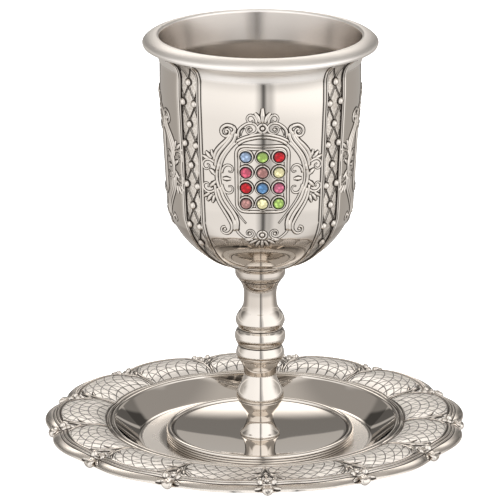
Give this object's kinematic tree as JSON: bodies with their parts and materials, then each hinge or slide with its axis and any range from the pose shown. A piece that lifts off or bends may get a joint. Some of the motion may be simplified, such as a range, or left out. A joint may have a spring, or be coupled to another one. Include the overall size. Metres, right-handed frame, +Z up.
{
  "type": "kiddush cup",
  "caption": "Silvery chased kiddush cup on a turned stem, with a jewelled tablet on its bowl, standing in a petal-edged saucer.",
  "frame": {"origin": "centre of the saucer's flat underside", "axes": "+Z up along the cup, -Y towards the side with the jewelled tablet, +X to that side's right"},
  "size_m": [0.1419, 0.142, 0.1445],
  "materials": {
    "silver": "polished, dark oxide left in the recesses",
    "glass_pale_blue": "polished faceted glass stone, foiled behind",
    "glass_green": "polished faceted glass stone, foiled behind",
    "glass_red": "polished faceted glass stone, foiled behind",
    "glass_rose": "polished faceted glass stone, foiled behind",
    "glass_brown_pink": "polished faceted glass stone, foiled behind",
    "glass_pale_yellow": "polished faceted glass stone, foiled behind",
    "glass_blue": "polished faceted glass stone, foiled behind",
    "glass_mauve_pink": "polished faceted glass stone, foiled behind"
  },
  "bodies": {
    "root": {"saucer": "silver", "foot": "silver", "stem": "silver", "bowl": "silver", "stone_1_1": "glass_pale_blue", "stone_1_2": "glass_green", "stone_1_3": "glass_red", "stone_2_1": "glass_rose", "stone_2_2": "glass_brown_pink", "stone_2_3": "glass_pale_yellow", "stone_3_1": "glass_red", "stone_3_2": "glass_blue", "stone_3_3": "glass_mauve_pink", "stone_4_1": "glass_brown_pink", "stone_4_2": "glass_pale_yellow", "stone_4_3": "glass_green"}
  },
  "joints": []
}
